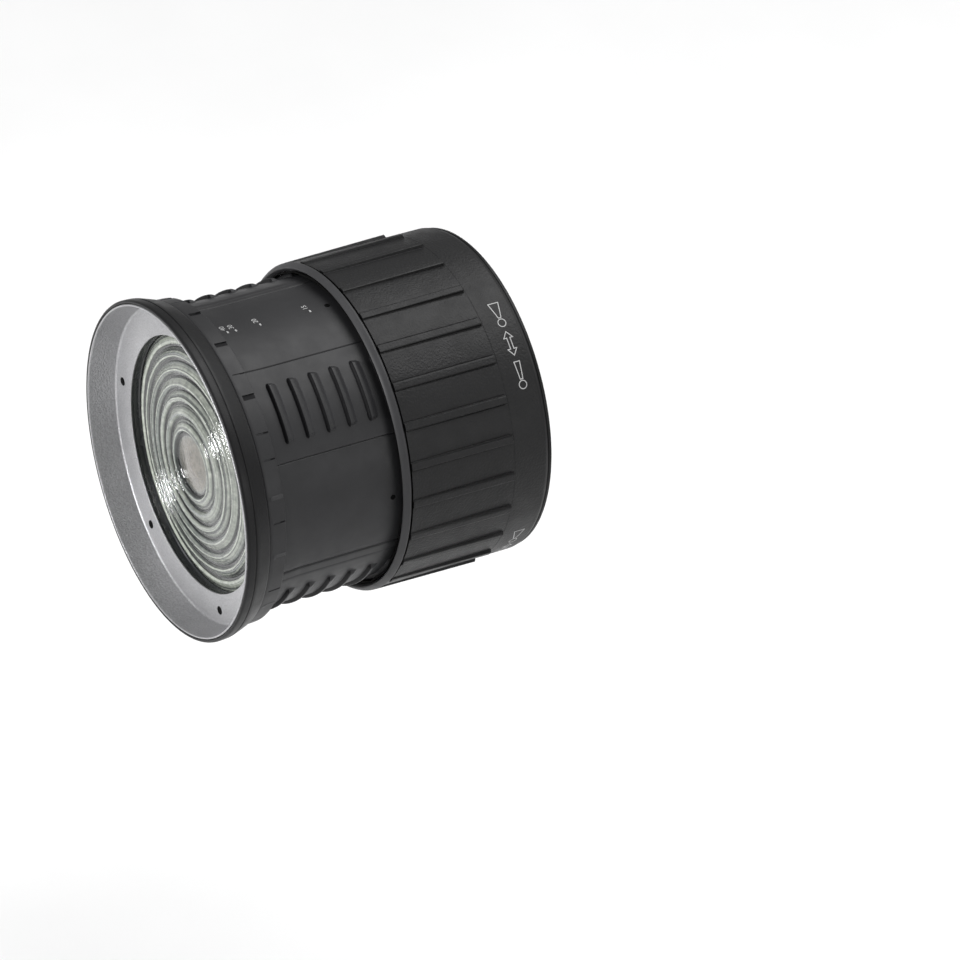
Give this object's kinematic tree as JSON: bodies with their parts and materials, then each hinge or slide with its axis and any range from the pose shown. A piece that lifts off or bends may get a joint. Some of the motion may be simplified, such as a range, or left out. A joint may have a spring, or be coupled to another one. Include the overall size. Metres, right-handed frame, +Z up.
{
  "type": "fresnel spotlight lens attachment",
  "caption": "Zooming Fresnel lens attachment for a studio lamp: a grip ring slides the lens barrel in and out, and a three-lug bayonet locks to the lamp.",
  "frame": {"origin": "on the optical axis, in the plane of the rear mounting face that seats on the lamp", "axes": "+Y along the optical axis from the lens towards the lamp, so the beam leaves along -Y; +Z up, through the beam scale; +X to the right when looking along +Y"},
  "size_m": [0.2094, 0.219, 0.2094],
  "materials": {
    "black_satin": "satin black paint",
    "silver_dish": "fine silver hammered paint on sheet aluminium",
    "barrel_grey": "smooth charcoal satin paint",
    "grip_black": "fine leather grain, matt black",
    "collar_grey": "satin dark grey paint",
    "inner_aluminium": "turned, plain",
    "bright_steel": "bright",
    "black_steel": "blackened",
    "brass": "turned",
    "black_rubber": "moulded silicone",
    "felt": "black felt",
    "lens_glass": "pressed borosilicate glass, faint green grey"
  },
  "bodies": {
    "rear_housing": {"rear_housing": "black_satin", "guide_sleeve": "inner_aluminium", "ring_circlip": "bright_steel", "bayonet_mount": "inner_aluminium", "housing_screw_1": "black_steel", "housing_screw_2": "black_steel", "housing_screw_3": "black_steel", "housing_screw_4": "black_steel", "bayonet_screw_1": "black_steel", "bayonet_screw_2": "black_steel", "bayonet_screw_3": "black_steel", "condenser_cell": "inner_aluminium", "condenser_lens": "lens_glass", "condenser_retainer": "black_steel"},
    "zoom_ring": {"zoom_ring": "grip_black", "ring_collar": "collar_grey", "light_seal": "felt", "cam_sleeve": "inner_aluminium", "drive_key_1": "bright_steel", "drive_key_2": "bright_steel", "drive_key_3": "bright_steel"},
    "lens_barrel": {"front_bezel": "black_satin", "reflector_dish": "silver_dish", "dish_screw_1": "black_steel", "dish_screw_2": "black_steel", "dish_screw_3": "black_steel", "dish_screw_4": "black_steel", "dish_screw_5": "black_steel", "dish_screw_6": "black_steel", "lens_gasket": "black_rubber", "fresnel_lens": "lens_glass", "lens_cell": "inner_aluminium", "accessory_band": "barrel_grey", "barrel_shell": "barrel_grey", "follower_carrier": "inner_aluminium", "barrel_screw_1": "black_steel", "barrel_screw_2": "black_steel", "barrel_screw_3": "black_steel", "barrel_screw_4": "black_steel", "barrel_screw_5": "black_steel", "barrel_screw_6": "black_steel", "cam_follower_1": "brass", "cam_follower_2": "brass", "cam_follower_3": "brass"}
  },
  "joints": [
    {"name": "zoom_ring_turn", "type": "hinge", "parent": "rear_housing", "child": "zoom_ring", "pos_m": [0, -0.0553, 0], "axis": [0, 1, 0], "range_deg": [0, 120]},
    {"name": "barrel_slide", "type": "slide", "parent": "rear_housing", "child": "lens_barrel", "axis": [0, 1, 0], "range_m": [0, 0.074]}
  ],
  "couplings": [
    {"joint": "barrel_slide", "follows": "zoom_ring_turn", "m_per_rad": 0.03533}
  ]
}
